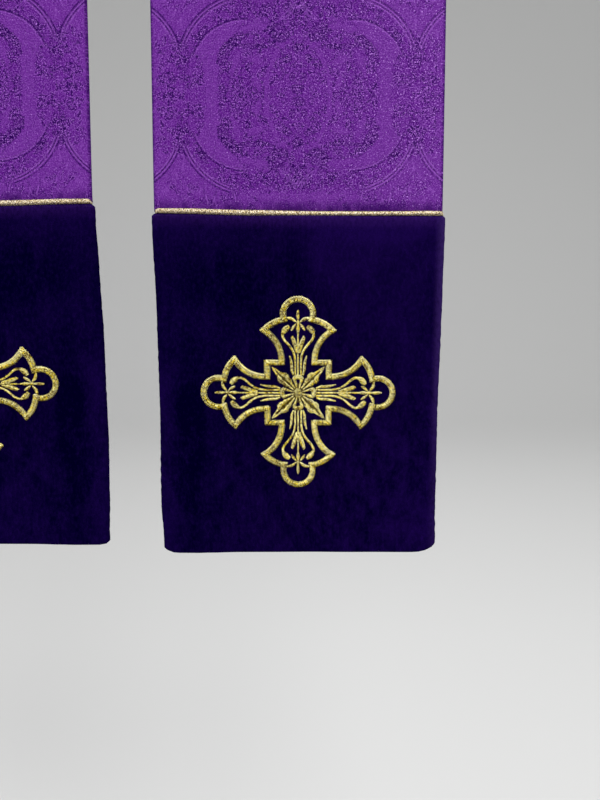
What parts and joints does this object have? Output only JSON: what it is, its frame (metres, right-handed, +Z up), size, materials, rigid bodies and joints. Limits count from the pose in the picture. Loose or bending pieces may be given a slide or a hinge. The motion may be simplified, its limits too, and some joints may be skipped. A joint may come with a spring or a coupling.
{
  "type": "clerical stole",
  "caption": "Clerical stole worn round the neck: violet brocade bands, gold piping and dark velvet ends with embroidered crosses.",
  "frame": {"origin": "the notch of the inner edges at the centre back, under the cloth, where the wearer's nape carries it", "axes": "+Z up, the front faces -Y, +X is the wearer's left"},
  "size_m": [0.3664, 0.2831, 1.109],
  "materials": {
    "violet_brocade": "violet damask brocade with a satin sheen, plain satin behind",
    "dark_velvet": "dark violet cotton velvet with a short pile",
    "gold_piping": "pale gold metallic cord",
    "gold_thread": "bright gold embroidery thread in satin stitch"
  },
  "bodies": {
    "root": {"brocade_left": "violet_brocade", "brocade_right": "violet_brocade", "velvet_end_left": "dark_velvet", "velvet_end_right": "dark_velvet", "piping_left": "gold_piping", "piping_right": "gold_piping", "cross_outline_left": "gold_thread", "cross_outline_right": "gold_thread", "cross_filling_left": "gold_thread", "cross_filling_right": "gold_thread"}
  },
  "joints": []
}
